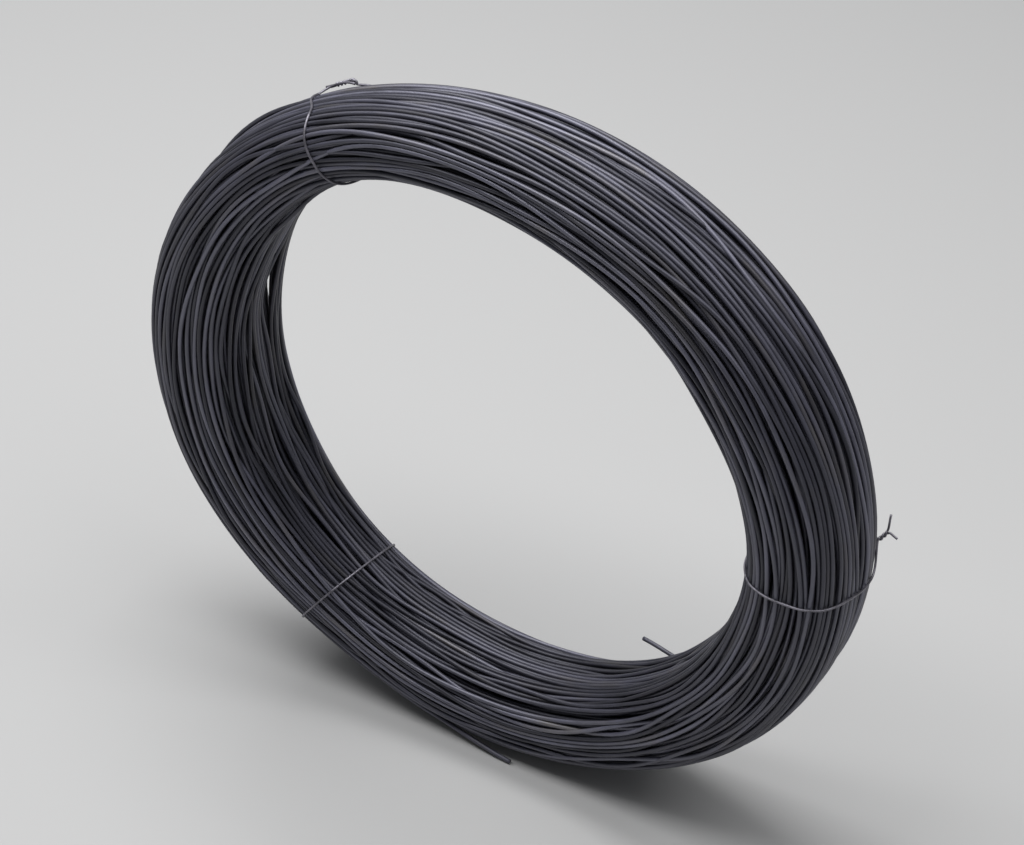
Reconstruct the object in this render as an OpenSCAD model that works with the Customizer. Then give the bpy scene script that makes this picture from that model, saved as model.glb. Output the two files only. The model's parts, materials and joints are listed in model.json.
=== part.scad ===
// Coil of black annealed steel wire that stands on its rim, held together by three twisted wire ties.
// The coil's axis lies along Y and its front end faces -Y. The origin is the centre of the bore.

/* [Coil] */
// Diameter of the bore, across the crests of the innermost turns
bore_d = 500; // [440:1:600]
// Thickness of the bundle, from the bore out to the rim
build_t = 85; // [78:1:110]
// Width of the bundle along the axis
coil_w = 104; // [80:1:140]
// Corner radius of the bundle's section
corner_r = 36; // [24:1:38]
// Diameter of the stock wire
wire_d = 4; // [3:0.1:5]
// Spacing of the turns that show, from crest to crest
turn_pitch = 5.3; // [5:0.1:7]

/* [Ties] */
// Diameter of the tie wire
tie_d = 2; // [1.6:0.1:2.4]
// Depth of the notch that a tie presses into the innermost turns
tie_bed = 1.1; // [1:0.05:1.3]
// Gap between a tie and the turns under it
tie_gap = 0.2; // [0.15:0.01:0.25]
// Place of the upper tie round the coil, in degrees from the right-hand side
tie_top_angle = 117.5; // [95:0.5:140]
// Place of the right-hand tie
tie_side_angle = 0.5; // [-25:0.5:25]
// Place of the lower left-hand tie
tie_low_angle = 236; // [205:0.5:255]
// How much further round the coil the upper tie lies at the front than at the middle
tie_top_tilt = 4; // [-5:0.5:5]
// The same for the right-hand tie
tie_side_tilt = -1; // [-5:0.5:5]
// The same for the lower tie
tie_low_tilt = -1.5; // [-5:0.5:5]
// How far behind the middle of the rim the upper tie is twisted
tie_top_foot = 11; // [0:0.5:11]
// The same for the right-hand tie
tie_side_foot = 11; // [0:0.5:11]
// The same for the lower tie
tie_low_foot = 0; // [0:0.5:11]
// Length of the upper tie's twist
tie_top_twist = 30; // [16:1:44]
// Length of the right-hand tie's twist
tie_side_twist = 9; // [6:1:20]
// Length of the lower tie's twist
tie_low_twist = 8; // [6:1:20]
// Angle through which the upper twist is bent over along the rim
tie_top_bend = 100; // [30:1:110]
// Angle through which the right-hand twist is bent over
tie_side_bend = 24; // [10:1:60]
// Angle through which the lower twist is bent over
tie_low_bend = -50; // [-70:1:-10]
// Length of the cut tails past each twist
tie_tail = 11; // [6:1:16]
// Angle between each tail and the twist
tail_splay = 42; // [20:1:60]
// Length along a twist for one full turn
twist_pitch = 8; // [7.6:0.2:12]

/* [Wire ends] */
// Place round the coil where the inner end springs out of the back
inner_end_angle = -53; // [-75:1:-40]
// Free length of the inner end
inner_end_len = 51; // [30:1:65]
// Angle at which the inner end rises out of the back
inner_end_rise = 19; // [14:1:30]
// Angle at which the inner end leans toward the bore's centre
inner_end_lean = 18; // [10:1:18]
// Angle before the lowest point at which the outer end leaves the rim
outer_end_angle = 8; // [6:1:14]
// Reach of the outer end past the lowest point
outer_end_reach = 38; // [20:1:50]
// Height of the outer end's tip above the floor
outer_end_lift = 1; // [0.5:0.5:6]
// How far in front of the rim's flat the outer end's tip lies
outer_end_ahead = 31; // [26:1:40]

/* [Hidden] */

wire_r = wire_d / 2;
tie_r = tie_d / 2;
bore_r = bore_d / 2;
rim_r = bore_r + build_t;
// Section, measured to the crests of the turns: its middle radius and half lengths of its flats
mid_r = bore_r + build_t / 2;
rim_flat = coil_w / 2 - corner_r;
end_flat = build_t / 2 - corner_r;

// Turns that show: their centres run along an outline one wire radius inside the crests
turn_corner_r = corner_r - wire_r;
turn_outline = 4 * quarter_len(turn_corner_r);
turns = 2 * round(turn_outline / turn_pitch / 2);
// Each crest is the outer half of a many-sided wire with a flat on top
turn_sides = 12;
turn_step = 360 / turn_sides;

// Ties: the notch under them, and the outline that their centre line follows
bed_side_gap = 0.3;
bed_w = tie_d + 2 * bed_side_gap;
bed_clear = 6;
tie_bore_r = bore_r + tie_bed - tie_gap - tie_r;
tie_rim_r = rim_r + tie_gap + tie_r;
tie_corner_r = corner_r + tie_gap + tie_r;
tie_outline = 4 * quarter_len(tie_corner_r);
tie_steps = 108;
tie_sides = 8;
// Twist of a tie: radius of its two strands' helix, radius of the bend at its foot, and steps in each
strand_r = 0.53 * tie_d;
foot_r = 1.5 * tie_d;
foot_steps = 4;
steps_per_twist = 12;

// Roots of the wire ends, sunk in the bundle
inner_end_root = 26;
inner_end_corner = 52;
outer_end_corner = 48;
outer_end_root = 6;

ring_fn = 240;
end_fn = 24;
wire_colour = [0.16, 0.16, 0.18];
tie_colour = [0.36, 0.35, 0.39];

// Length of a quarter of the section's outline with its corners turned at radius r
function quarter_len(r) = rim_flat + end_flat + r * PI / 2;

// How far the outline has turned at s along that quarter, from the middle of the rim to the front end's
function quarter_turn(s, r) = min(max((s - rim_flat) / r * 180 / PI, 0), 90);

// Point on that quarter
function quarter_point(s, r) =
    let (turned = quarter_turn(s, r))
    [end_flat + r * cos(turned) - max(s - rim_flat - r * PI / 2, 0),
        min(s, rim_flat) + r * sin(turned)];

// Quarter that s falls in, and the length from the nearest rim or bore middle to it
function quarter_of(s, r) = floor(s / quarter_len(r));
function folded(s, r) =
    let (k = quarter_of(s, r), rest = s - k * quarter_len(r))
    k % 2 == 0 ? rest : quarter_len(r) - rest;

// Point on the whole outline, and the way it faces there, mirrored from the first quarter
function outline_point(s, r) =
    let (k = quarter_of(s, r), p = quarter_point(folded(s, r), r))
    [p.x * (k == 0 || k == 3 ? 1 : -1), p.y * (k < 2 ? 1 : -1)];
function outline_facing(s, r) =
    let (k = quarter_of(s, r), turned = quarter_turn(folded(s, r), r))
    [cos(turned) * (k == 0 || k == 3 ? 1 : -1), sin(turned) * (k < 2 ? 1 : -1)];

// Crest of the turn that lies at s along the outline of the turns' centres
function turn_crest(s) =
    let (out = outline_facing(s, turn_corner_r), along = [-out.y, out.x])
    let (first = (1 - turn_sides / 2) * turn_step / 2)
    [for (k = [0:turn_sides / 2 - 1])
        let (turned = first + k * turn_step)
        outline_point(s, turn_corner_r)
            + wire_r / cos(turn_step / 2) * (cos(turned) * out + sin(turned) * along)];

function unit(v) = v / norm(v);

// Centre line of one strand of a twist, from its foot to its end, along an axis bent through an arc.
// The side is 1 for the strand that comes from the front of the coil and -1 for the other.
// Heights here are counted from the foot.
function strand_point(s, twist, bend, side) =
    let (sweep = bend * s / twist, arc_r = twist / bend * 180 / PI)
    let (phase = 360 * s / twist_pitch, off = side * strand_r)
    let (axis_point = [tie_rim_r + foot_r + arc_r * sin(sweep), arc_r * (1 - cos(sweep)), 0])
    axis_point + off * (cos(phase) * [0, 0, 1] + sin(phase) * [-sin(sweep), cos(sweep), 0]);

function strand(twist, bend, side) =
    let (steps = ceil(steps_per_twist * twist / twist_pitch))
    [for (i = [0:steps]) strand_point(twist * i / steps, twist, bend, side)];

// End of a tail, splayed away from the twist on the side where its strand stops
function tail_end(twist, bend, side) =
    let (phase = 360 * twist / twist_pitch, along = [cos(bend), sin(bend), 0])
    let (aside = side * (cos(phase) * [0, 0, 1] + sin(phase) * [-sin(bend), cos(bend), 0]))
    strand_point(twist, twist, bend, side) + tie_tail * (cos(tail_splay) * along + sin(tail_splay) * aside);

// Bend at the foot of a twist, from the strand's foot down to the rim
function foot(side) = [for (i = [1:foot_steps])
    let (turned = 180 + 90 * i / foot_steps)
    [tie_rim_r + foot_r * (1 + sin(turned)), 0, side * (strand_r + foot_r * (1 + cos(turned)))]];

// Loop round the section between the two sides of a foot, sunk into the notch where it passes the bore
function loop(behind) =
    let (start = strand_r + foot_r, run = tie_outline - 2 * start)
    [for (i = [1:tie_steps - 1])
        let (s = start - behind + run * i / tie_steps)
        let (p = outline_point((s + tie_outline) % tie_outline, tie_corner_r))
        [max(mid_r + p.x, tie_bore_r), 0, p.y]];

function reversed(list) = [for (i = [len(list) - 1:-1:0]) list[i]];
function lowered(list, behind) = [for (p = list) p - [0, 0, behind]];

// A point turned round the coil in proportion to its height, as a tilted tie is
function tilted(p, tilt) =
    let (turned = tilt * p.z / (coil_w / 2))
    [p.x * cos(turned) - p.y * sin(turned), p.x * sin(turned) + p.y * cos(turned), p.z];

// Whole centre line of a tie, from one cut end to the other
function tie_path(twist, bend, behind, tilt) =
    let (front = concat([tail_end(twist, bend, 1)], reversed(strand(twist, bend, 1)), foot(1)))
    let (rear = concat(reversed(foot(-1)), strand(twist, bend, -1), [tail_end(twist, bend, -1)]))
    [for (p = concat(lowered(front, behind), loop(behind), lowered(rear, behind))) tilted(p, tilt)];

// Directions of a path at its points, and side directions carried along it without turning
function headings(path) = let (last = len(path) - 1)
    [for (i = [0:last]) unit(path[min(i + 1, last)] - path[max(i - 1, 0)])];

function carried(side, heading) = unit(side - (side * heading) * heading);

function side_directions(heads) =
    [for (i = 0, side = carried([0.31, 0.87, 0.38], heads[0]);
        i < len(heads);
        i = i + 1, side = i < len(heads) ? carried(side, heads[i]) : side) side];

// Round wire along a path
module bent_wire(path, d, sides) {
    heads = headings(path);
    outs = side_directions(heads);
    rings = len(path);
    points = [for (i = [0:rings - 1]) for (j = [0:sides - 1])
        let (turned = 360 * j / sides)
        path[i] + d / 2 * (cos(turned) * outs[i] + sin(turned) * cross(heads[i], outs[i]))];
    walls = [for (i = [0:rings - 2]) for (j = [0:sides - 1])
        let (a = i * sides + j, b = i * sides + (j + 1) % sides)
        each [[a, a + sides, b], [b, a + sides, b + sides]]];
    first_cap = [[for (j = [0:sides - 1]) j]];
    last_cap = [[for (j = [sides - 1:-1:0]) (rings - 1) * sides + j]];
    polyhedron(points = points, faces = concat(walls, first_cap, last_cap), convexity = 10);
}

// Straight round wire between two points
module straight_wire(from, to, d) {
    run = to - from;
    translate(from)
        rotate([0, acos(run.z / norm(run)), atan2(run.y, run.x)])
            cylinder(d = d, h = norm(run), $fn = end_fn);
}

// Section of the bundle, with the crest of every turn that shows on it
module wound_section() {
    translate([mid_r, 0])
        polygon([for (i = [0:turns - 1]) each turn_crest(turn_outline * i / turns)]);
}

// Notch that a tie presses into the innermost turns
module tie_notch(angle, tilt) {
    lean = atan(bore_r * tilt * PI / 180 / (coil_w / 2));
    rotate([0, 0, angle])
        translate([bore_r - bed_clear, 0, 0])
            rotate([-lean, 0, 0])
                translate([0, -bed_w / 2, -coil_w / 2])
                    cube([bed_clear + tie_bed, bed_w, coil_w]);
}

// Inner end of the wire, sprung out of the back of the coil beside the bore
module inner_end() {
    heading = [-sin(inner_end_lean), -cos(inner_end_lean) * cos(inner_end_rise), -sin(inner_end_rise)];
    exit = [bore_r + corner_r * (1 - cos(inner_end_corner)), 0,
        -rim_flat - corner_r * sin(inner_end_corner)];
    rotate([0, 0, inner_end_angle])
        straight_wire(exit - inner_end_root * unit(heading), exit + inner_end_len * unit(heading), wire_d);
}

// Outer end of the wire, leaving the rim in front and ending just above the floor
module outer_end() {
    leave_r = rim_r - corner_r + turn_corner_r * cos(outer_end_corner);
    leave = [-leave_r * sin(outer_end_angle), -leave_r * cos(outer_end_angle),
        rim_flat + turn_corner_r * sin(outer_end_corner)];
    tip = [outer_end_reach, -(rim_r - wire_r - outer_end_lift), rim_flat + outer_end_ahead];
    straight_wire(leave - outer_end_root * unit(tip - leave), tip, wire_d);
}

// Stands a shape that was made about a vertical axis on its rim, with its top at the front
module on_rim() {
    rotate([90, 0, 0]) children();
}

module wire_coil() {
    color(wire_colour) on_rim() {
        difference() {
            rotate_extrude($fn = ring_fn) wound_section();
            tie_notch(tie_top_angle, tie_top_tilt);
            tie_notch(tie_side_angle, tie_side_tilt);
            tie_notch(tie_low_angle, tie_low_tilt);
        }
        inner_end();
        outer_end();
    }
}

module tie(angle, path) {
    color(tie_colour) on_rim() rotate([0, 0, angle]) bent_wire(path, tie_d, tie_sides);
}

module tie_top() {
    tie(tie_top_angle, tie_path(tie_top_twist, tie_top_bend, tie_top_foot, tie_top_tilt));
}

module tie_side() {
    tie(tie_side_angle, tie_path(tie_side_twist, tie_side_bend, tie_side_foot, tie_side_tilt));
}

module tie_low() {
    tie(tie_low_angle, tie_path(tie_low_twist, tie_low_bend, tie_low_foot, tie_low_tilt));
}

wire_coil();
tie_top();
tie_side();
tie_low();
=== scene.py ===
"""Coil of black annealed steel wire, wound turn by turn, with its ties and its loose ends."""

import collections
import functools
import json
import math

import bpy
import numpy as np
from bpy.props import FloatProperty, FloatVectorProperty, IntProperty, PointerProperty
from mathutils import Matrix, Vector


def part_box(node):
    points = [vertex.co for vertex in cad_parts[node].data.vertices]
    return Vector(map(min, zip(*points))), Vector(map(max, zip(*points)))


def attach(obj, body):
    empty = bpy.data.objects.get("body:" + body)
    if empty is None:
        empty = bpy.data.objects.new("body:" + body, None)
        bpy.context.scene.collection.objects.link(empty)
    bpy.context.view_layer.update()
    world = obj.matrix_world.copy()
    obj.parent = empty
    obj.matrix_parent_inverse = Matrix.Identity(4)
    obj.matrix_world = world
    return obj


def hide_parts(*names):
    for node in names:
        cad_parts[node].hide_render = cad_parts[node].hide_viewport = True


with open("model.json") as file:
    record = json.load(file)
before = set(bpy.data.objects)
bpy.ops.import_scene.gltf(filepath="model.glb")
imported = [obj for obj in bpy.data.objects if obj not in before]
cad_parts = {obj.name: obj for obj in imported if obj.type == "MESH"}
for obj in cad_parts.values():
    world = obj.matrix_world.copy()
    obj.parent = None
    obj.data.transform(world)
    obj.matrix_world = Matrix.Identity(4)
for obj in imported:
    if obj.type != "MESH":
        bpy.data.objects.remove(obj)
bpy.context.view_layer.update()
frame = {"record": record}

bl_info = {
    "name": "Annealed Wire Coil",
    "version": (1, 0, 0),
    "blender": (4, 5, 0),
    "location": "3D View > Sidebar > Wire Coil",
    "description": "Winds a standing coil of annealed wire with its ties and loose ends",
    "category": "Add Mesh",
}

# The frame gives the bundle's size: its bore, its rim, its width and the floor that it stands on
COIL_LOW, COIL_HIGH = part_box("wire_coil")
BORE = next(mount for mount in frame["record"]["mounts"] if mount["name"] == "bore")
BORE_R = BORE["dims"]["r_mm"] / 1000
RIM_R = COIL_HIGH[0]
MID_R = (BORE_R + RIM_R) / 2
HALF_BUILD = (RIM_R - BORE_R) / 2
HALF_WIDTH = -COIL_LOW[1]
FLOOR_Z = -RIM_R
FULL_TURN = 2 * math.pi
# Angle round the ring of its lowest point
LOWEST = 1.5 * math.pi
# Names of the UV map and the attribute that the finishes read
STRIP_MAP = "OFBake"
TONE = "tone"


class BundleSizes(bpy.types.PropertyGroup):
    """The stock wire and the way that its turns lie in the bundle."""

    wire_d: FloatProperty(
        name="Wire diameter", description="Diameter of the stock wire",
        default=0.004, unit="LENGTH", precision=4)
    turns: IntProperty(
        name="Turns", description="Turns asked for; whole turns in each layer can add or take a few",
        default=276)
    shown_spacing: FloatProperty(
        name="Spacing at the surface", description="Distance between the turns that show",
        default=0.0053, unit="LENGTH", precision=4)
    layer_depth: FloatProperty(
        name="Layer depth", description="Distance from one layer of turns to the next",
        default=0.0047, unit="LENGTH", precision=4)
    squareness: FloatProperty(
        name="Squareness", description="Power of the section's outline: 2 is an ellipse, more is squarer",
        default=2.9)
    fullness: FloatVectorProperty(
        name="Fullness", description="Size of the section at every 30 degrees from the right-hand side",
        size=12, default=(1.08, 1.08, 1.01, 0.89, 0.78, 1.01, 1.13, 1.09, 0.965, 0.96, 0.95, 1.07))
    wander: FloatVectorProperty(
        name="Wander", description="How far the middle line strays outward at every 30 degrees",
        size=12, unit="LENGTH", precision=4,
        default=(0, 0.001, 0.001, -0.0005, 0.0035, 0.0015, 0.0005, 0.001, 0, 0, 0.001, -0.002))
    oval: FloatProperty(
        name="Oval", description="Share by which the ring is wider than it is round", default=0.0045)
    drift: FloatProperty(
        name="Drift", description="How far a turn strays from its place as it goes round",
        default=0.0016, unit="LENGTH", precision=4)
    gather: FloatProperty(
        name="Gather", description="How far neighbouring turns draw together into strands",
        default=0.0011, unit="LENGTH", precision=4)
    seed: IntProperty(name="Seed", description="Chooses one of many ways that the turns can lie", default=7)


Bundle = collections.namedtuple("Bundle", BundleSizes.__annotations__)


def bundle_now(scene):
    """The bundle's sizes as they are set now, as plain values that can be compared."""
    values = (getattr(scene.coil_bundle, field) for field in Bundle._fields)
    return Bundle(*(value if isinstance(value, (int, float)) else tuple(value) for value in values))


class EndSizes(bpy.types.PropertyGroup):
    """The two loose ends of the stock wire."""

    inner_angle: FloatProperty(
        name="Inner end's place", description="Angle round the coil where the inner end springs out",
        default=math.radians(-53.3), subtype="ANGLE")
    inner_length: FloatProperty(
        name="Inner end's length", description="Free length of the inner end",
        default=0.053, unit="LENGTH", precision=4)
    inner_rise: FloatProperty(
        name="Inner end's rise", description="Angle at which the inner end rises out of the back",
        default=math.radians(11.2), subtype="ANGLE")
    inner_lean: FloatProperty(
        name="Inner end's lean", description="Angle at which the inner end leans toward the bore's centre",
        default=math.radians(31.1), subtype="ANGLE")
    outer_angle: FloatProperty(
        name="Outer end's place",
        description="Angle before the lowest point where the outer end leaves the rim",
        default=math.radians(8), subtype="ANGLE")
    outer_reach: FloatProperty(
        name="Outer end's reach", description="How far past the lowest point the outer end's tip lies",
        default=0.038, unit="LENGTH", precision=4)
    outer_lift: FloatProperty(
        name="Outer end's height", description="Height of the outer end's tip above the floor",
        default=0.001, unit="LENGTH", precision=4)
    outer_ahead: FloatProperty(
        name="Outer end's lead", description="How far in front of the middle the outer end's tip lies",
        default=0.047, unit="LENGTH", precision=4)


def tie_group(title, **defaults):
    """A property group for one tie, with its own defaults."""
    angle = {"subtype": "ANGLE"}
    length = {"unit": "LENGTH", "precision": 4}
    fields = {
        "angle": ("Place", "Angle round the coil where the tie crosses the middle of the bore", angle),
        "tilt": ("Tilt", "How much further round the coil the tie lies at the front", angle),
        "lean": ("Lean", "How much further round the coil the front lead leaves the turns", angle),
        "lean_span": ("Lean's span", "Stretch of the section over which that lean fades", angle),
        "leave": ("Front lead", "Direction from rim to front where the front lead lifts", angle),
        "lift": ("Lift", "How far the front lead arches off the rim", length),
        "sag": ("Sag", "How far the tie hangs off the innermost turns", length),
        "foot": ("Foot", "Direction from rim to back where the twist stands", angle),
        "foot_turn": ("Foot's turn", "How much further round the coil the twist stands", angle),
        "twist": ("Twist", "Length of the tie's twist", length),
        "hook": ("Hook", "Length at the foot of the twist in which it is bent over", length),
        "bend": ("Bend", "Angle through which the twist is bent over along the rim", angle),
        "tail": ("Tail", "Length of the front strand's cut tail", length),
        "other_tail": ("Other tail", "Length of the back strand's cut tail", length),
        "splay": ("Splay", "Angle between the front strand's tail and the twist", angle),
        "other_splay": ("Other splay", "Angle between the back strand's tail and the twist", angle),
    }
    annotations = {
        field: FloatProperty(name=label, description=text, default=defaults[field], **kind)
        for field, (label, text, kind) in fields.items()}
    members = {"__annotations__": annotations, "__doc__": "One wire tie."}
    return type(title, (bpy.types.PropertyGroup,), members)


TopTie = tie_group(
    "TopTie", angle=math.radians(117.5), tilt=math.radians(4.5), lean=math.radians(8.7),
    lean_span=math.radians(50), leave=math.radians(-32), lift=0.006, sag=0.0004,
    foot=math.radians(34), foot_turn=math.radians(3.2), twist=0.024, hook=0.006, bend=math.radians(93),
    tail=0.01, other_tail=0.008, splay=math.radians(5), other_splay=math.radians(7))
SideTie = tie_group(
    "SideTie", angle=math.radians(1), tilt=math.radians(-1.5), lean=math.radians(-4.7),
    lean_span=math.radians(52), leave=math.radians(-30), lift=0.0, sag=0.0,
    foot=math.radians(42), foot_turn=math.radians(-1.2), twist=0.011, hook=0.004, bend=math.radians(45),
    tail=0.014, other_tail=0.0085, splay=math.radians(35), other_splay=math.radians(75))
LowTie = tie_group(
    "LowTie", angle=math.radians(236), tilt=math.radians(-1.5), lean=0.0,
    lean_span=math.radians(20), leave=math.radians(15), lift=0.0, sag=0.0,
    foot=0.0, foot_turn=0.0, twist=0.008, hook=0.008, bend=math.radians(-50),
    tail=0.011, other_tail=0.011, splay=math.radians(42), other_splay=math.radians(42))


class TieSizes(bpy.types.PropertyGroup):
    """The wire of the ties and the form of their twists."""

    tie_d: FloatProperty(
        name="Tie diameter", description="Diameter of the tie wire",
        default=0.002, unit="LENGTH", precision=4)
    twist_pitch: FloatProperty(
        name="Twist pitch", description="Length along a twist for one full turn",
        default=0.008, unit="LENGTH", precision=4)
    top: PointerProperty(type=TopTie)
    side: PointerProperty(type=SideTie)
    low: PointerProperty(type=LowTie)


class Finishes(bpy.types.PropertyGroup):
    """Colours of the wires and the floor."""

    scale_dark: FloatVectorProperty(
        name="Dark scale", description="Annealing scale in its darkest stretches",
        subtype="COLOR", default=(0.017, 0.017, 0.022))
    scale_grey: FloatVectorProperty(
        name="Grey scale", description="Annealing scale over most of the wire",
        subtype="COLOR", default=(0.053, 0.053, 0.074))
    scale_brown: FloatVectorProperty(
        name="Brown scale", description="Stretches where the scale has turned brown",
        subtype="COLOR", default=(0.064, 0.059, 0.055))
    scale_sheen: FloatVectorProperty(
        name="Scale's sheen", description="Tint of the light that the annealing scale throws back",
        subtype="COLOR", default=(0.88, 0.88, 1.0))
    tie_grey: FloatVectorProperty(
        name="Tie grey", description="Drawn wire of the ties",
        subtype="COLOR", default=(0.26, 0.25, 0.29))
    floor_pale: FloatVectorProperty(
        name="Floor", description="Plain floor under the coil",
        subtype="COLOR", default=(0.46, 0.46, 0.46))


class StageSizes(bpy.types.PropertyGroup):
    """Where the camera stands."""

    azimuth: FloatProperty(
        name="Azimuth", description="Angle of the camera round the coil from its front",
        default=math.radians(31.5), subtype="ANGLE")
    elevation: FloatProperty(
        name="Elevation", description="Angle of the camera above the floor",
        default=math.radians(39.8), subtype="ANGLE")
    distance: FloatProperty(
        name="Distance", description="Distance from the camera to the middle of the coil",
        default=2.708, unit="LENGTH")
    lens: FloatProperty(name="Lens", description="Focal length in millimetres", default=112.5)
    shift: FloatVectorProperty(
        name="Shift", description="Sideways and upward shift of the lens", size=2, default=(0.0104, 0.0145))


def unit(vectors):
    """The vectors, each divided by its own length."""
    return vectors / np.linalg.norm(vectors, axis=-1, keepdims=True)


def running_length(path):
    """Length along a path from its start to each of its points."""
    return np.append(0, np.cumsum(np.linalg.norm(np.diff(path, axis=0), axis=1)))


def closed_curve(values, t):
    """Smooth closed curves through values spaced evenly round the ring along axis 1, read at the angles t.

    Each curve is the finite Fourier sum of its values.
    """
    count = values.shape[1]
    waves = np.fft.rfft(values, axis=1) / count
    order = np.arange(waves.shape[1])
    weight = np.where((order == 0) | (2 * order == count), 1, 2)
    turning = np.exp(1j * np.outer(order, t)) * weight[:, None]
    return np.einsum("nk...,ks->ns...", waves, turning).real


def fullness_at(bundle, t):
    """Size of the bundle's section at the angles t, as a share of its full size."""
    return closed_curve(np.array(bundle.fullness)[None, :], np.atleast_1d(t))[0]


def ring_radius(bundle, t):
    """Radius of the bundle's middle line at the angles t: a slightly oval circle that wanders."""
    stray = closed_curve(np.array(bundle.wander)[None, :], np.ravel(t))[0].reshape(np.shape(t))
    return MID_R * (1 + bundle.oval * np.cos(2 * t)) + stray


def ring_point(bundle, t, place):
    """Points in the frame from angles t round the coil and places (out, back) in the section there."""
    out = ring_radius(bundle, t) + place[..., 0]
    return np.stack([out * np.cos(t), place[..., 1], out * np.sin(t)], axis=-1)


def outline_reach(bundle, facing, inset):
    """Distance from the section's middle to its outline in the directions (out, back) given.

    The outline is |out / half build| ** power + |back / half width| ** power = 1, with both halves less
    the inset.
    """
    halves = np.array([HALF_BUILD - inset, HALF_WIDTH - inset])
    total = np.sum(np.abs(facing / halves) ** bundle.squareness, axis=-1)
    return total ** (-1 / bundle.squareness)


# Points that stand for the section's outline, and the share of its size where the innermost layer ends
OUTLINE_POINTS = 2001
CORE_SHARE = 0.05


def section_outline(bundle):
    """Points once round the outline that the outermost turns' centres lie on."""
    turn = np.linspace(0, FULL_TURN, OUTLINE_POINTS)
    facing = np.stack([np.cos(turn), np.sin(turn)], axis=-1)
    return facing * outline_reach(bundle, facing, bundle.wire_d / 2)[:, None]


def spread_on_outline(bundle, count, share, start):
    """Places spaced evenly along the section's outline, drawn in to a share of its size."""
    loop = section_outline(bundle)
    length = running_length(loop)
    at = (np.arange(count) + start) / count % 1 * length[-1]
    return share * np.stack([np.interp(at, length, values) for values in loop.T], axis=-1)


def layered_places(bundle, chance):
    """Starting places of all the turns in layers under the outline, and the layer that each is in.

    Every layer has a whole number of turns in proportion to its length, and the outermost has the spacing
    that shows, so the total can be a few less or more than asked for.
    """
    length = running_length(section_outline(bundle))[-1]
    shares = np.arange(1, CORE_SHARE, -bundle.layer_depth / HALF_BUILD)
    first = round(length / bundle.shown_spacing)
    counts = np.round((bundle.turns - first) * shares[1:] / shares[1:].sum()).astype(int)
    counts = np.append(first, np.maximum(counts, 1))
    places = [
        spread_on_outline(bundle, count, share, chance.random())
        for count, share in zip(counts, shares)]
    return np.concatenate(places), np.repeat(np.arange(len(counts)), counts)


# Waves that draw turns into strands: their crests round the section, and the most that go round the ring
STRAND_WAVES = np.arange(5, 15)
MOST_RING_WAVES = 5


def gathered(bundle, places, t, chance):
    """A shift along the outline that neighbours share, which draws turns into strands with gaps between.

    It is a sum of waves, each with a whole number of crests round the section and another round the ring.
    """
    round_ring = chance.integers(-MOST_RING_WAVES, MOST_RING_WAVES + 1, len(STRAND_WAVES))
    start = chance.random(len(STRAND_WAVES)) * FULL_TURN
    toward = np.arctan2(places[:, 1] / HALF_WIDTH, places[:, 0] / HALF_BUILD)
    round_section = toward[:, None, None] * STRAND_WAVES[:, None]
    phase = round_section + (round_ring[:, None] * t + start[:, None])[None]
    shift = bundle.gather * np.sin(phase).sum(axis=1)
    along = unit(np.stack([-places[:, 1], places[:, 0]], axis=-1))
    return shift[..., None] * along[:, None]


# Waves of a turn's own drift, the power of their number by which their height falls, and the share of the
# rise and fall that the outermost turns do without
DRIFT_WAVES = np.arange(1, 13)
DRIFT_FALL = 0.8
OUTER_CALM = 0.6


def drifted(bundle, places, layers, t, chance):
    """Every turn's place round the ring: its start, sized by the fullness, plus a smooth drift of its own.

    The drift is a sum of waves whose height falls with their number. In the outermost layer it runs
    mostly along the outline.
    """
    height = bundle.drift / DRIFT_WAVES ** DRIFT_FALL
    waves = chance.normal(size=(len(places), len(DRIFT_WAVES), 2, 2)) * height[None, :, None, None]
    turning = np.stack([np.cos(np.outer(DRIFT_WAVES, t)), np.sin(np.outer(DRIFT_WAVES, t))])
    drift = np.einsum("nkcp,pks->nsc", waves, turning)
    normal = unit(places)
    lifting = np.sum(drift * normal[:, None], axis=-1, keepdims=True) * normal[:, None]
    drift = np.where((layers == 0)[:, None, None], drift - OUTER_CALM * lifting, drift)
    drift = drift + gathered(bundle, places, t, chance)
    return places[:, None] * fullness_at(bundle, t)[None, :, None] + drift


# Lengths below which two turns, or a turn and the section's middle, count as one place
SAME_PLACE = 1e-6
SAME_MIDDLE = 1e-9


def kept_inside(bundle, places, full):
    """Places drawn back to the outline wherever they have left it."""
    reach = np.linalg.norm(places, axis=-1, keepdims=True)
    facing = places / np.maximum(reach, SAME_MIDDLE)
    limit = outline_reach(bundle, facing, bundle.wire_d / 2) * full[None, :]
    return facing * np.minimum(reach[..., 0], limit)[..., None]


def neighbours(places, reach):
    """Numbers of the turns in each pair that comes closer than the reach anywhere round the ring."""
    near = np.zeros((len(places), len(places)), dtype=bool)
    for at in range(places.shape[1]):
        here = places[:, at]
        near |= np.sum((here[:, None] - here[None]) ** 2, axis=-1) < reach ** 2
    return np.nonzero(np.triu(near, 1))


# Settling: its rounds, the rounds between two searches for neighbours, how far these look and the clearance
# between turns' centres, both in wire diameters, the share of what a pair lacks by which each of its turns
# moves in a round, and the waves that a turn keeps
SETTLE_ROUNDS = 70
SEARCH_EVERY = 12
SEARCH_REACH = 1.7
CLEARANCE = 1.03
PUSH_SHARE = 0.4
WAVES_KEPT = 14


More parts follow.
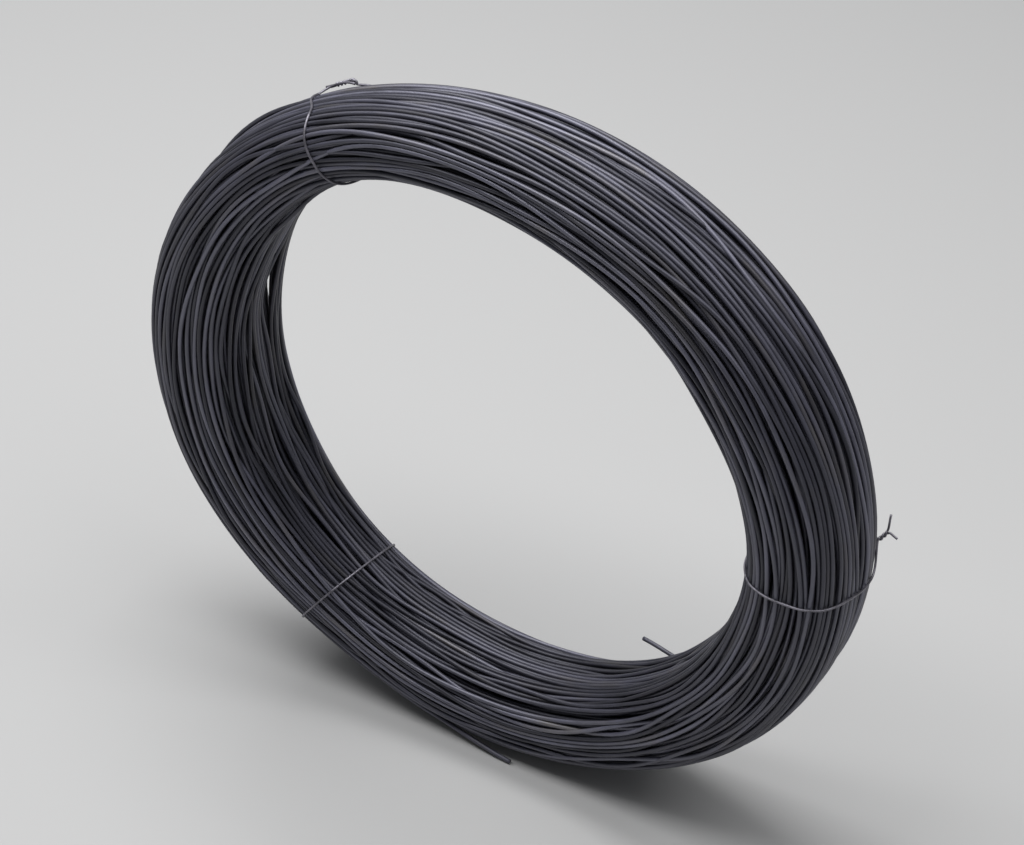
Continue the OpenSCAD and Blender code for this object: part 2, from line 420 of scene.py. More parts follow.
def settled(bundle, places, full):
    """Turns pushed apart until most lie beside each other, each still a smooth curve inside the outline.

    In every round each pair of turns closer than the clearance moves apart by part of what it lacks, and
    waves shorter than a stiff wire takes are dropped. Small overlaps are left.
    """
    for step in range(SETTLE_ROUNDS):
        if step % SEARCH_EVERY == 0:
            first, second = neighbours(places, SEARCH_REACH * bundle.wire_d)
            pairs = np.arange(len(first))
            signs = np.zeros((len(places), len(pairs)), dtype=np.float32)
            signs[first, pairs] = 1
            signs[second, pairs] = -1
        apart = places[first] - places[second]
        distance = np.maximum(np.linalg.norm(apart, axis=-1, keepdims=True), SAME_PLACE)
        push = apart / distance * np.maximum(CLEARANCE * bundle.wire_d - distance, 0) * PUSH_SHARE
        shifts = signs @ push.reshape(len(pairs), -1).astype(np.float32)
        bends = np.fft.rfft(places + shifts.reshape(places.shape), axis=1)
        bends[:, WAVES_KEPT:] = 0
        places = kept_inside(bundle, np.fft.irfft(bends, n=places.shape[1], axis=1), full)
    return places


# Turns that stand off the bundle: angle round the ring, direction in the section from the rim towards the
# back, the stretch over which they do, all in degrees, how far they stand off, and how deep the strand of
# turns is that does so together, where it is not one turn
LOOSE_TURNS = [
    (141, 20, 12, 0.0045, 0),
    (150, 60, 25, 0.004, 0),
    (137, 215, 8, 0.006, 0),
    (170, 150, 11, 0.0055, 0.008),
    (204, 150, 9, 0.006, 0),
    (38, 225, 11, 0.002, 0),
    (300, 70, 24, 0.006, 0),
    (318, 45, 20, 0.002, 0),
]
# A strand that stands off rises by this share of its lift. The turns under it are pressed in by the rest,
# less and less down to this depth.
STRAND_RISE = 0.15
PRESSED_DEPTH = 0.03


def loosened(places, layers, t):
    """Places with a few outer turns lifted off the bundle in smooth humps.

    A strand of turns hardly rises; the turns under it are pressed in instead, less the deeper they lie.
    """
    for angle, toward, stretch, lift, depth in LOOSE_TURNS:
        facing = np.array([math.cos(math.radians(toward)), math.sin(math.radians(toward))])
        away = np.angle(np.exp(1j * (t - math.radians(angle))))
        here = places[:, np.argmin(np.abs(away))]
        reach = here @ facing
        nearness = np.where(layers == 0, reach / np.linalg.norm(here, axis=1), -1)
        share = nearness == nearness.max()
        if depth:
            below = reach.max() - depth - reach
            pressed = (1 - STRAND_RISE) * np.clip(1 - below / PRESSED_DEPTH, 0, 1)
            share = np.where(below < 0, STRAND_RISE, -pressed)
        hump = np.exp(-(away / math.radians(stretch)) ** 2)[:, None] * facing
        places = places + lift * share[:, None, None] * hump
    return places


# Stations round the ring at which the turns' places are worked out
WINDING_STATIONS = 72


@functools.lru_cache(maxsize=1)
def wound_bundle(bundle):
    """Places of all turns at even stations round the ring, and the layer that each turn belongs to."""
    chance = np.random.default_rng(bundle.seed)
    t = np.arange(WINDING_STATIONS) * FULL_TURN / WINDING_STATIONS
    places, layers = layered_places(bundle, chance)
    places = drifted(bundle, places, layers, t, chance)
    places = settled(bundle, places, fullness_at(bundle, t))
    return loosened(places, layers, t), layers


def tube_rings(path, side, radius, sides):
    """Points of round tubes along paths: a circle of the wire's radius across the path at every station.

    The side gives the direction that each circle starts from; it is squared to the path first.
    """
    heading = unit(np.gradient(path, axis=-2))
    side = unit(side - np.sum(side * heading, axis=-1, keepdims=True) * heading)
    other = np.cross(heading, side)
    turn = np.arange(sides) * FULL_TURN / sides
    spokes = np.cos(turn)[:, None] * side[..., None, :] + np.sin(turn)[:, None] * other[..., None, :]
    return path[..., None, :] + radius * spokes


def put_piece(name, points, faces, material, replaced):
    """A smooth mesh object that rides on the coil and stands for CAD nodes.

    The faces come as arrays of equal-sided faces, one row a face.
    """
    mesh = bpy.data.meshes.new(name)
    corners = np.concatenate([face.ravel() for face in faces])
    sides = np.concatenate([np.full(len(face), face.shape[1]) for face in faces])
    mesh.vertices.add(len(points))
    mesh.vertices.foreach_set("co", points.astype(np.float32).ravel())
    mesh.loops.add(len(corners))
    mesh.loops.foreach_set("vertex_index", corners.astype(np.int32))
    mesh.polygons.add(len(sides))
    mesh.polygons.foreach_set("loop_start", np.append(0, np.cumsum(sides)[:-1]).astype(np.int32))
    mesh.update(calc_edges=True)
    mesh.shade_smooth()
    mesh.materials.append(material)
    piece = bpy.data.objects.new(name, mesh)
    bpy.context.collection.objects.link(piece)
    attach(piece, "root")
    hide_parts(*replaced)
    return piece


def put_maps(mesh, strip, tones):
    """Gives a mesh what the finishes read: the UV place of each face corner, and the tone of each point."""
    tone = mesh.attributes.new(TONE, "FLOAT", "POINT")
    tone.data.foreach_set("value", tones.astype(np.float32))
    layer = mesh.uv_layers.new(name=STRIP_MAP)
    layer.data.foreach_set("uv", strip.astype(np.float32).ravel())


def closed_tube_faces(tubes, stations, sides):
    """Quads of tubes that close on themselves, over points in the order tube, station, side."""
    point = np.arange(tubes * stations * sides).reshape(tubes, stations, sides)
    beside = np.roll(point, -1, axis=2)
    quads = [point, beside, np.roll(beside, -1, axis=1), np.roll(point, -1, axis=1)]
    return np.stack(quads, axis=-1).reshape(-1, 4)


# Share of its row in the UV map that a turn's strip fills, the margin beside it, and the height of the
# strip of a tie or an end
STRIP_SHARE = 0.9
STRIP_MARGIN = 0.05
BENT_STRIP = 0.03


def closed_tube_strips(tubes, stations, sides):
    """UV places that lay every turn out as its own strip: U along the turn, V across the strips."""
    tube, station, side = np.meshgrid(
        np.arange(tubes), np.arange(stations), np.arange(sides), indexing="ij")
    u = np.stack([station, station, station + 1, station + 1], -1) / stations
    across = np.stack([side, side + 1, side + 1, side], -1) / sides
    v = (tube[..., None] + across * STRIP_SHARE + STRIP_MARGIN) / tubes
    return np.stack([u, v], -1)


def add_turns(bundle, name, places, tones, stations, sides, material):
    """One mesh of closed turns: each is a circle of the wire carried round the ring along its places."""
    t = np.arange(stations) * FULL_TURN / stations
    path = ring_point(bundle, t[None, :], closed_curve(places, t)) + [0, 0, drop_to_floor(bundle)]
    out = np.broadcast_to(np.stack([np.cos(t), 0 * t, np.sin(t)], -1), path.shape)
    wrapped = np.concatenate([path[:, -1:], path, path[:, :1]], axis=1)
    wrapped_out = np.concatenate([out[:, -1:], out, out[:, :1]], axis=1)
    rings = tube_rings(wrapped, wrapped_out, bundle.wire_d / 2, sides)[:, 1:-1]
    faces = closed_tube_faces(len(places), stations, sides)
    piece = put_piece(name, rings.reshape(-1, 3), [faces], material, ["wire_coil"])
    strips = closed_tube_strips(len(places), stations, sides)
    put_maps(piece.data, strips, np.repeat(tones, stations * sides))


def drop_to_floor(bundle):
    """Height to add to the whole wound bundle, below zero, so that its lowest turns meet the floor."""
    return FLOOR_Z + ring_radius(bundle, LOWEST) + HALF_BUILD * fullness_at(bundle, LOWEST)[0]


# A direction that no tie or end starts along
FIRST_SIDE = (0.31, 0.38, 0.87)


def carried_sides(path):
    """Side directions carried along a path without turning about it, one station after another."""
    sides = np.empty_like(path)
    side = np.array(FIRST_SIDE)
    for station, ahead in enumerate(unit(np.gradient(path, axis=0))):
        side = unit(side - side @ ahead * ahead)
        sides[station] = side
    return sides


def add_bent_wire(name, path, diameter, sides, material, replaced):
    """One mesh of a wire with two cut ends: a circle carried along the path, with a flat at each end."""
    rings = tube_rings(path, carried_sides(path), diameter / 2, sides)
    stations = len(path)
    point = np.arange(stations * sides).reshape(stations, sides)
    beside = np.roll(point, -1, axis=1)
    quads = np.stack([point[:-1], beside[:-1], beside[1:], point[1:]], -1).reshape(-1, 4)
    caps = np.stack([point[0, ::-1], point[-1]])
    piece = put_piece(name, rings.reshape(-1, 3), [quads, caps], material, replaced)
    station, side = np.meshgrid(np.arange(stations - 1), np.arange(sides), indexing="ij")
    along = running_length(path) / (FULL_TURN * MID_R)
    u = along[np.stack([station, station, station + 1, station + 1], -1)]
    v = np.stack([side, side + 1, side + 1, side], -1) / sides * BENT_STRIP
    strip = np.concatenate([np.stack([u, v], -1).reshape(-1, 2), np.zeros((2 * sides, 2))])
    put_maps(piece.data, strip, np.full(stations * sides, BENT_TONE))


def section_axes(t):
    """The outward, forward-round and backward directions at the angle t round the coil."""
    out = np.array([math.cos(t), 0, math.sin(t)])
    ahead = np.array([-math.sin(t), 0, math.cos(t)])
    return out, ahead, np.array([0, 1, 0])


def bezier(start, first, second, end, count):
    """Points along the cubic curve of four control points, without its start."""
    s = np.linspace(0, 1, count + 1)[1:, None]
    near_start = (1 - s) ** 3 * start + 3 * s * (1 - s) ** 2 * first
    return near_start + 3 * s ** 2 * (1 - s) * second + s ** 3 * end


def evenly_spaced(path, step):
    """The same path with points a step apart."""
    length = running_length(path)
    at = np.linspace(0, length[-1], max(round(length[-1] / step), 2) + 1)
    return np.stack([np.interp(at, length, values) for values in path.T], axis=-1)


def running_mean(values, reach):
    """The values, each drawn to the mean of its neighbours within reach, the nearest weighing most."""
    weights = np.hanning(2 * reach + 3)[1:-1]
    return np.convolve(np.pad(values, reach, mode="edge"), weights / weights.sum(), "valid")


def smoothed(path, reach):
    """The same path with every point drawn to the mean of its neighbours."""
    return np.stack([running_mean(values, reach) for values in path.T], axis=-1)


def tie_course(tie, place):
    """A tie's directions, from rim to front, at its places in the section, and its angles round the coil.

    The angles follow the tie's tilt, and lean to its two leads in bell-shaped steps.
    """
    toward = np.unwrap(np.arctan2(-place[:, 1], place[:, 0]))
    lean = tie.lean * np.exp(-((toward - tie.leave) / tie.lean_span) ** 2)
    lean += tie.foot_turn * np.exp(-((toward - FULL_TURN + tie.foot) / tie.lean_span) ** 2)
    return toward, tie.angle - tie.tilt * place[:, 1] / HALF_WIDTH + lean


# A tie's loop: the direction that it starts from, the directions that it is worked out in, the sweeps that
# find its course, the middle and the spread of its sag, and how far before the foot it leaves the turns
LOOP_START = -math.pi / 3
LOOP_DIRECTIONS = 480
LOOP_SWEEPS = 3
SAG_MIDDLE = math.radians(165)
SAG_SPREAD = math.radians(32)
FOOT_LEAD = math.radians(20)
# Spacing of the loop's points, and how many of them on each side even a point out
LOOP_STEP = 0.0012
LOOP_SMOOTHING = 7


def taut_loop(bundle, places, ties, tie):
    """The part of a tie that lies on the turns: a string pulled round them, from front lead to foot.

    In each direction of the section it rests on the turn that reaches furthest that way, and hangs off the
    innermost turns by its sag. It is then evened out, so it dips a little into some turns.
    """
    toward = np.linspace(LOOP_START, FULL_TURN - tie.foot, LOOP_DIRECTIONS)
    facing = np.stack([np.cos(toward), -np.sin(toward)], axis=-1)
    slack = tie.sag * np.exp(-((toward - SAG_MIDDLE) / SAG_SPREAD) ** 2)
    off = (bundle.wire_d + ties.tie_d) / 2 + slack
    t = np.full(len(toward), tie.angle)
    for _ in range(LOOP_SWEEPS):
        here = closed_curve(places, t)
        furthest = np.argmax(np.sum(here * facing, axis=-1), axis=0)
        resting = here[furthest, np.arange(len(toward))] + facing * off[:, None]
        polar, t = tie_course(tie, resting)
    lying = (polar > tie.leave) & (polar < FULL_TURN - tie.foot - FOOT_LEAD)
    resting = smoothed(evenly_spaced(resting[lying], LOOP_STEP), LOOP_SMOOTHING)
    return ring_point(bundle, tie_course(tie, resting)[1], resting)


# A twist: its steps, the radius of its strands' helix in tie diameters, and a tail's steps and the share of
# it that runs on straight
TWIST_STEPS = 80
HELIX_RADIUS = 0.53
TAIL_STEPS = 10
TAIL_STRAIGHT = 0.15


def twist_strand(ties, tie, foot, axes, side):
    """One strand of a twist: a helix about an axis that hooks over along the rim, and then a straight tail.

    The axes are the way the twist stands, the way it bends over, and the way to the front strand. The axis
    is the running sum of its heading, which turns through the bend within the hook's length.
    """
    stand, over, front = axes
    s = np.linspace(0, tie.twist, TWIST_STEPS)
    turned = (tie.bend * np.minimum(s / tie.hook, 1))[:, None]
    ahead = np.cos(turned) * stand + np.sin(turned) * over
    normal = -np.sin(turned) * stand + np.cos(turned) * over
    steps = (ahead[1:] + ahead[:-1]) / 2 * (s[1] - s[0])
    axis = foot + np.concatenate([np.zeros((1, 3)), np.cumsum(steps, axis=0)])
    phase = (FULL_TURN * s / ties.twist_pitch)[:, None]
    spoke = side * (np.cos(phase) * front + np.sin(phase) * normal)
    strand = axis + HELIX_RADIUS * ties.tie_d * spoke
    length, splay = (tie.tail, tie.splay) if side == 1 else (tie.other_tail, tie.other_splay)
    end = strand[-1]
    tip = end + length * (math.cos(splay) * ahead[-1] + math.sin(splay) * spoke[-1])
    tail = bezier(end, end + TAIL_STRAIGHT * length * ahead[-1], (end + tip) / 2, tip, TAIL_STEPS)
    return np.concatenate([strand, tail])


# A lead between the loop and a strand: its steps, and the shares of its length at which its curve's control
# points stand from its start and from its end
LEAD_STEPS = 24
LEAD_START = 0.4
LEAD_END = 0.3


def tie_path(bundle, places, ties, tie):
    """Whole centre line of a tie: tail, strand, lead, loop, lead, strand and tail, one after another."""
    loop = taut_loop(bundle, places, ties, tie)
    t = tie.angle - tie.tilt * math.sin(tie.foot) * HALF_BUILD / HALF_WIDTH + tie.foot_turn
    out, over, back = section_axes(t)
    stand = math.cos(tie.foot) * out + math.sin(tie.foot) * back
    front = math.sin(tie.foot) * out - math.cos(tie.foot) * back
    facing = np.array([math.cos(tie.foot), math.sin(tie.foot)])
    here = closed_curve(places, np.array([t]))[:, 0]
    resting = here[np.argmax(here @ facing)] + facing * (bundle.wire_d / 2 + ties.tie_d)
    foot = ring_point(bundle, np.array(t), resting)
    strands = {side: twist_strand(ties, tie, foot, (stand, over, front), side) for side in (1, -1)}
    leads = {}
    for side, start, beyond in ((1, loop[0], loop[0] - loop[2]), (-1, loop[-1], loop[-1] - loop[-3])):
        end = strands[side][0]
        reach = np.linalg.norm(end - start)
        lift = stand * (tie.lift if side == 1 else 0)
        first = start + LEAD_START * reach * unit(beyond) + lift / 2
        second = end + LEAD_END * (start - end) + lift
        leads[side] = bezier(start, first, second, end, LEAD_STEPS)[:-1]
    return np.concatenate([strands[1][::-1], leads[1][::-1], loop, leads[-1], strands[-1]])


def surface_point(bundle, t, toward, proud):
    """Points on the bundle's outline at the angles t, in one direction from the rim towards the front."""
    facing = np.array([math.cos(toward), -math.sin(toward)])
    reach = outline_reach(bundle, facing, bundle.wire_d / 2) * fullness_at(bundle, t) + proud
    return ring_point(bundle, np.asarray(t), reach[:, None] * facing)


# The ends: the direction from rim to front where each lies on the bundle, the degrees of the ring along
# which it comes up, with a point for each, its height where it leaves in wire diameters, and the steps of
# its free length
INNER_TOWARD = math.radians(250)
INNER_LAID = 60
INNER_PROUD = 0.3
INNER_STEPS = 24
OUTER_TOWARD = math.radians(55)
OUTER_LAID = 70
OUTER_PROUD = 0.5
OUTER_STEPS = 30
# Depth of both ends' roots in wire diameters
END_DEPTH = 3
# The way that the outer end's tip points: along the floor and a little down
OUTER_TIP_HEADING = np.array([1, 0, -0.1])


def laid_end(bundle, t, toward, proud):
    """The part of an end that comes up out of the turns at the angles t, and its heading as it leaves."""
    rise = np.linspace(-END_DEPTH * bundle.wire_d, proud * bundle.wire_d, len(t))
    laid = surface_point(bundle, t, toward, rise)
    return laid, unit(laid[-1] - laid[-2])


def inner_end_path(bundle, ends):
    """The inner end: it rises out of the turns beside the bore and springs out of the back.

    Its curve's control points lie a sixth of its length along the turns and half of it back from the tip.
    """
    t = ends.inner_angle + np.radians(np.linspace(INNER_LAID, 0, INNER_LAID))
    laid, along = laid_end(bundle, t, INNER_TOWARD, INNER_PROUD)
    out, ahead, back = section_axes(ends.inner_angle)
    heading = (
        -math.sin(ends.inner_lean) * out
        - math.cos(ends.inner_lean) * math.cos(ends.inner_rise) * ahead
        + math.sin(ends.inner_rise) * back)
    length = ends.inner_length
    tip = laid[-1] + length * unit(heading)
    free = bezier(laid[-1], laid[-1] + length / 6 * along, tip - length / 2 * heading, tip, INNER_STEPS)
    return np.concatenate([laid, free])


def outer_end_path(bundle, ends):
    """The outer end: the last turn lies on the lower front of the bundle, leaves it and ends on the floor.

    Its curve's control points lie a third of the way along the turns and back from the tip.
    """
    t = LOWEST - ends.outer_angle - np.radians(np.linspace(OUTER_LAID, 0, OUTER_LAID))
    laid, along = laid_end(bundle, t, OUTER_TOWARD, OUTER_PROUD)
    floor = FLOOR_Z - drop_to_floor(bundle)
    tip = np.array([
        ends.outer_reach, -ends.outer_ahead, floor + bundle.wire_d / 2 + ends.outer_lift])
    third = np.linalg.norm(tip - laid[-1]) / 3
    free = bezier(
        laid[-1], laid[-1] + third * along, tip - third * OUTER_TIP_HEADING, tip, OUTER_STEPS)
    return np.concatenate([laid, free])


def node_tree(name):
    """A new material, its node tree and shader, and a short way to add nodes with their settings."""
    material = bpy.data.materials.new(name)
    material.use_nodes = True
    tree = material.node_tree
    shader = tree.nodes["Principled BSDF"]

    def add(kind, **settings):
        node = tree.nodes.new(kind)
        for key, value in settings.items():
            if key in node.inputs:
                node.inputs[key].default_value = value
            else:
                setattr(node, key, value)
        return node

    return material, tree, shader, add


def ranged(tree, value, source, target):
    """The value carried from the source range to the target range, each given as (low, high)."""
    node = tree.nodes.new("ShaderNodeMapRange")
    node.inputs["From Min"].default_value, node.inputs["From Max"].default_value = source
    node.inputs["To Min"].default_value, node.inputs["To Max"].default_value = target
    tree.links.new(value, node.inputs["Value"])
    return node.outputs["Result"]


def ramped(tree, value, stops):
    """The value read as a colour off a ramp with the stops (position, colour)."""
    node = tree.nodes.new("ShaderNodeValToRGB")
    elements = node.color_ramp.elements
    for element, (position, colour) in zip(elements, stops):
        element.position = position
        element.color = (*colour, 1)
    for position, colour in stops[len(elements):]:
        elements.new(position).color = (*colour, 1)
    tree.links.new(value, node.inputs["Fac"])
    return node.outputs["Color"]


def combined(tree, add, operation, first, second):
    """Two values put through one step of arithmetic."""
    node = add("ShaderNodeMath", operation=operation)
    tree.links.new(first, node.inputs[0])
    tree.links.new(second, node.inputs[1])
    return node.outputs[0]


# Repeats of the streaks' noise along the whole strip map and across it
STREAKS_ALONG = 90
STREAKS_ACROSS = 330


def drawn_streaks(tree, add):
    """Fine streaks that run along a wire: a noise stretched along U of the strip map."""
    strip = add("ShaderNodeUVMap", uv_map=STRIP_MAP)
    stretch = add("ShaderNodeMapping", Scale=(STREAKS_ALONG, STREAKS_ACROSS, 1))
    streaks = add("ShaderNodeTexNoise", Scale=1.0, Detail=3.0, Roughness=0.6)
    tree.links.new(strip.outputs["UV"], stretch.inputs["Vector"])
    tree.links.new(stretch.outputs["Vector"], streaks.inputs["Vector"])
    return streaks.outputs["Fac"]


# How far apart in the patches' fourth dimension the darkest and the palest turn lie
TONE_SPREAD = 60


def annealed_scale(finishes):
    """Dark annealing scale: grey that drifts to black and brown along each turn, with a soft uneven sheen.

    A noise in four dimensions, the fourth being the turn's own tone, gives every turn its own pattern.
    The tone also shades the turn and sets its sheen, and streaks along the wire wear both.
    """
    material, tree, shader, add = node_tree("annealed_scale")
    link = tree.links.new
    place = add("ShaderNodeTexCoord").outputs["Object"]
    tone = add("ShaderNodeAttribute", attribute_name=TONE).outputs["Fac"]
    streaks = drawn_streaks(tree, add)

    patches = add("ShaderNodeTexNoise", noise_dimensions="4D", Scale=11.0, Detail=4.0, Roughness=0.6)
    link(place, patches.inputs["Vector"])
    link(ranged(tree, tone, (0, 1), (0, TONE_SPREAD)), patches.inputs["W"])
    colours = ramped(tree, patches.outputs["Fac"], [
        (0.3, finishes.scale_dark), (0.52, finishes.scale_grey), (0.72, finishes.scale_brown)])
    shade = ranged(tree, tone, (0, 1), (0.35, 1.75))
    worn = ranged(tree, streaks, (0.3, 0.7), (0.7, 1.3))
    toned = add("ShaderNodeVectorMath", operation="SCALE")
    link(colours, toned.inputs[0])
    link(combined(tree, add, "MULTIPLY", shade, worn), toned.inputs["Scale"])
    link(toned.outputs["Vector"], shader.inputs["Base Color"])

    link(ranged(tree, streaks, (0.25, 0.75), (0.38, 0.56)), shader.inputs["Roughness"])
    link(ranged(tree, tone, (0, 1), (0.3, 0.75)), shader.inputs["Specular IOR Level"])
    shader.inputs["Specular Tint"].default_value = (*finishes.scale_sheen, 1)
    shader.inputs["IOR"].default_value = 1.8

    grain = add("ShaderNodeTexNoise", Scale=420.0, Detail=3.0, Roughness=0.6)
    link(place, grain.inputs["Vector"])
    bump = add("ShaderNodeBump", Strength=0.25, Distance=0.0002)
    link(combined(tree, add, "ADD", grain.outputs["Fac"], streaks), bump.inputs["Height"])
    link(bump.outputs["Normal"], shader.inputs["Normal"])
    return material


# Shade of the ties' rubbed stretches as a share of their grey
RUBBED_SHADE = 0.4


def drawn_wire(finishes):
    """Dull drawn wire of the ties, greyer and paler than the coil, with darker rubbed stretches."""
    material, tree, shader, add = node_tree("drawn_tie_wire")
    link = tree.links.new
    patches = add("ShaderNodeTexNoise", Scale=90.0, Detail=4.0, Roughness=0.6)
    link(add("ShaderNodeTexCoord").outputs["Object"], patches.inputs["Vector"])
    rubbed = [RUBBED_SHADE * channel for channel in finishes.tie_grey]
    colours = ramped(tree, patches.outputs["Fac"], [(0.3, rubbed), (0.65, finishes.tie_grey)])
    link(colours, shader.inputs["Base Color"])
    link(ranged(tree, patches.outputs["Fac"], (0, 1), (0.3, 0.5)), shader.inputs["Roughness"])
    shader.inputs["Metallic"].default_value = 0.6
    return material


# Stations and sides of the turns in the layers that show, and of those inside
SHOWN_LAYERS = 2
SHOWN_MESH = (180, 10)
INSIDE_MESH = (96, 5)
INSIDE_PIECES = 2
# Power that makes dark turns commoner than pale ones
TONE_POWER = 1.4
# Tone of the ends and ties, and their sides
BENT_TONE = 0.5
END_SIDES = 12
TIE_SIDES = 10


class COIL_OT_wind_turns(bpy.types.Operator):
    """Wind all the turns of the bundle, one mesh for each face of it and two for the turns inside."""

    bl_idname = "wire_coil.wind_turns"
    bl_label = "Wind the turns"

    def execute(self, context):
        bundle = bundle_now(context.scene)
        material = annealed_scale(context.scene.coil_finishes)
        places, layers = wound_bundle(bundle)
        chance = np.random.default_rng(bundle.seed + 1)
        tones = chance.random(len(places)) ** TONE_POWER
        out, back = (places.mean(axis=1) / [HALF_BUILD, HALF_WIDTH]).T
        face = np.where(
            np.abs(out) > np.abs(back),
            np.where(out > 0, "rim", "bore"),
            np.where(back > 0, "back", "front"))
        shown = layers < SHOWN_LAYERS
        for name in ("rim", "front", "bore", "back"):
            chosen = shown & (face == name)
            add_turns(bundle, f"{name}_turns", places[chosen], tones[chosen], *SHOWN_MESH, material)
        inside = np.array_split(np.nonzero(~shown)[0], INSIDE_PIECES)
        for number, chosen in enumerate(inside, 1):
            name = f"inner_turns_{number}"
            add_turns(bundle, name, places[chosen], tones[chosen], *INSIDE_MESH, material)
        return {"FINISHED"}


class COIL_OT_lay_ends(bpy.types.Operator):
    """Lay the two loose ends of the wire."""

    bl_idname = "wire_coil.lay_ends"
    bl_label = "Lay the wire's ends"

    def execute(self, context):
        bundle = bundle_now(context.scene)
        ends = context.scene.coil_ends
        material = bpy.data.materials["annealed_scale"]
        paths = {"inner_end": inner_end_path(bundle, ends), "outer_end": outer_end_path(bundle, ends)}
        for name, path in paths.items():
            path = path + [0, 0, drop_to_floor(bundle)]
            add_bent_wire(name, path, bundle.wire_d, END_SIDES, material, ["wire_coil"])
        return {"FINISHED"}


class COIL_OT_fit_ties(bpy.types.Operator):
    """Pull the three ties tight round the turns and twist them."""

    bl_idname = "wire_coil.fit_ties"
    bl_label = "Fit the ties"

    def execute(self, context):
        bundle = bundle_now(context.scene)
        ties = context.scene.coil_ties
        material = drawn_wire(context.scene.coil_finishes)
        places = wound_bundle(bundle)[0]
        for name in ("top", "side", "low"):
            path = tie_path(bundle, places, ties, getattr(ties, name)) + [0, 0, drop_to_floor(bundle)]
            add_bent_wire(
                f"{name}_tie_wire", path, ties.tie_d, TIE_SIDES, material, [f"tie_{name}"])
        return {"FINISHED"}


# Soft lights: name, place, size and power
LIGHTS = (
    ("key_light", (-1.0, 0.1, 2.55), 2.4, 106),
    ("side_light", (1.1, 0.2, 2.4), 2.4, 40),
)
ROOM_COLOUR = (0.9, 0.92, 0.95, 1)
ROOM_STRENGTH = 0.15
FLOOR_REACH = 8
FLOOR_ROUGHNESS = 0.7
SENSOR_WIDTH = 36


class COIL_OT_set_stage(bpy.types.Operator):
    """Set the floor, the lights and the camera."""

    bl_idname = "wire_coil.set_stage"
    bl_label = "Set the stage"

    def execute(self, context):
        scene = context.scene
        scene.view_settings.view_transform = "Standard"
        add_floor(scene.coil_finishes)
        for light in LIGHTS:
            add_light(*light)
        scene.world = bpy.data.worlds.new("soft_room")
        scene.world.use_nodes = True
        room = scene.world.node_tree.nodes["Background"]
        room.inputs["Color"].default_value = ROOM_COLOUR
        room.inputs["Strength"].default_value = ROOM_STRENGTH
        add_camera(scene)
        return {"FINISHED"}


def add_floor(finishes):
    """A wide plain floor that the coil stands on."""
    material, _, shader, _ = node_tree("plain_floor")
    shader.inputs["Base Color"].default_value = (*finishes.floor_pale, 1)
    shader.inputs["Roughness"].default_value = FLOOR_ROUGHNESS
    mesh = bpy.data.meshes.new("floor")
    corners = [(-1, -1), (1, -1), (1, 1), (-1, 1)]
    mesh.from_pydata(
        [(x * FLOOR_REACH, y * FLOOR_REACH, FLOOR_Z) for x, y in corners], [], [(0, 1, 2, 3)])
    mesh.materials.append(material)
    floor = bpy.data.objects.new("floor", mesh)
    bpy.context.collection.objects.link(floor)


def add_light(name, place, size, power):
    """A square soft light that faces the middle of the coil."""
    light = bpy.data.lights.new(name, "AREA")
    light.size = size
    light.energy = power
    lamp = bpy.data.objects.new(name, light)
    lamp.location = place
    lamp.rotation_euler = (-Vector(place)).to_track_quat("-Z", "Y").to_euler()
    bpy.context.collection.objects.link(lamp)


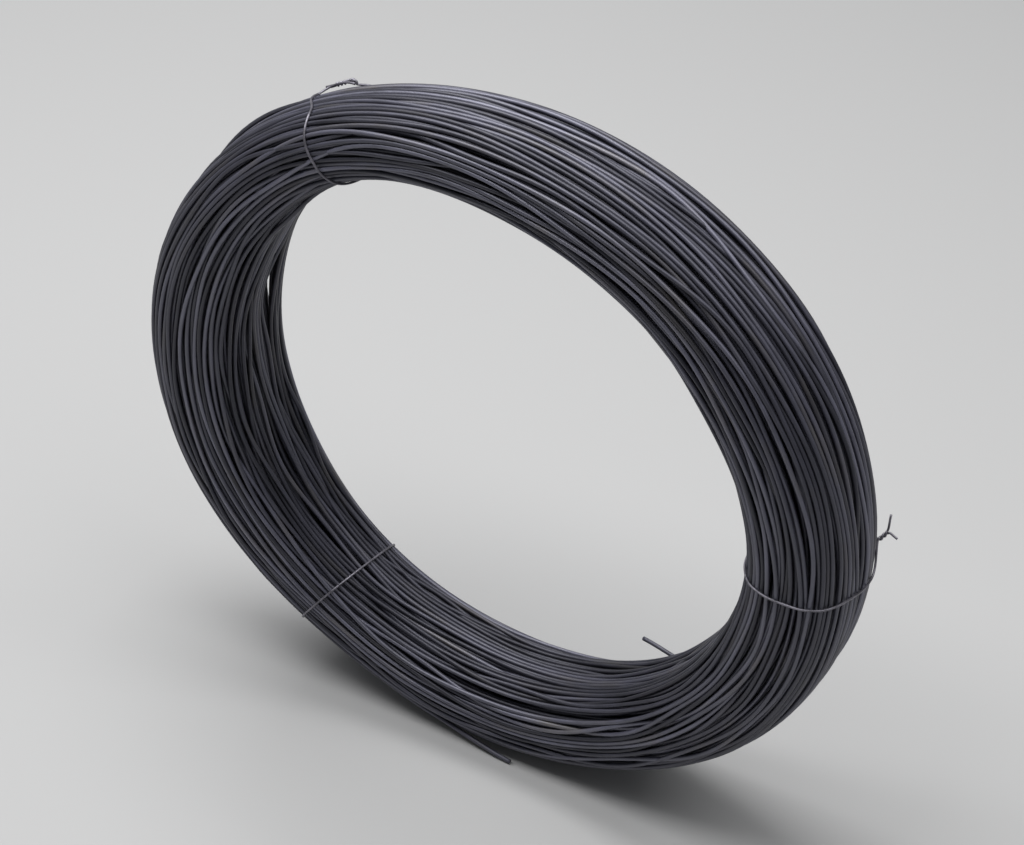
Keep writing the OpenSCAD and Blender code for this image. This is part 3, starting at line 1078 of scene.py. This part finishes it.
def add_camera(scene):
    """A camera at the azimuth and elevation given, aimed at the middle of the coil as it rests."""
    sizes = scene.coil_stage
    camera = bpy.data.cameras.new("camera")
    camera.lens = sizes.lens
    camera.sensor_width = SENSOR_WIDTH
    camera.shift_x, camera.shift_y = sizes.shift
    azimuth, elevation = sizes.azimuth, sizes.elevation
    level = math.cos(elevation)
    back = Vector((math.sin(azimuth) * level, -math.cos(azimuth) * level, math.sin(elevation)))
    right = Vector((math.cos(azimuth), math.sin(azimuth), 0))
    up = back.cross(right)
    middle = Vector((0, 0, drop_to_floor(bundle_now(scene))))
    turn = Matrix((right, up, back)).transposed().to_4x4()
    stand = bpy.data.objects.new("camera", camera)
    stand.matrix_world = Matrix.Translation(middle + back * sizes.distance) @ turn
    bpy.context.collection.objects.link(stand)
    scene.camera = stand


def list_sizes(box, group):
    """Lists a group's sizes and colours in a box, with a box of its own for each group inside it."""
    for field in type(group).__annotations__:
        value = getattr(group, field)
        if isinstance(value, bpy.types.PropertyGroup):
            list_sizes(box.box(), value)
        else:
            box.prop(group, field)


class COIL_PT_panel(bpy.types.Panel):
    """The coil's steps, sizes and finishes."""

    bl_idname = "COIL_PT_panel"
    bl_label = "Wire coil"
    bl_space_type = "VIEW_3D"
    bl_region_type = "UI"
    bl_category = "Wire Coil"

    def draw(self, context):
        for operator in OPERATORS:
            self.layout.operator(operator.bl_idname)
        for name in SCENE_GROUPS:
            list_sizes(self.layout.box(), getattr(context.scene, name))


GROUPS = (BundleSizes, EndSizes, TopTie, SideTie, LowTie, TieSizes, Finishes, StageSizes)
OPERATORS = (COIL_OT_set_stage, COIL_OT_wind_turns, COIL_OT_lay_ends, COIL_OT_fit_ties)
SCENE_GROUPS = {
    "coil_bundle": BundleSizes,
    "coil_ends": EndSizes,
    "coil_ties": TieSizes,
    "coil_finishes": Finishes,
    "coil_stage": StageSizes,
}


def register():
    """Registers the classes and gives every scene its groups of sizes."""
    for cls in (*GROUPS, *OPERATORS, COIL_PT_panel):
        bpy.utils.register_class(cls)
    for name, group in SCENE_GROUPS.items():
        setattr(bpy.types.Scene, name, PointerProperty(type=group))


def unregister():
    """Takes the groups and the classes away again."""
    for name in SCENE_GROUPS:
        delattr(bpy.types.Scene, name)
    for cls in reversed((*GROUPS, *OPERATORS, COIL_PT_panel)):
        bpy.utils.unregister_class(cls)


def main():
    """Builds the whole scene and writes the CAD model's box and the dressed model's box."""
    register()
    bpy.ops.wire_coil.set_stage()
    bpy.ops.wire_coil.wind_turns()
    bpy.ops.wire_coil.lay_ends()
    bpy.ops.wire_coil.fit_ties()


if __name__ == "__main__":
    main()
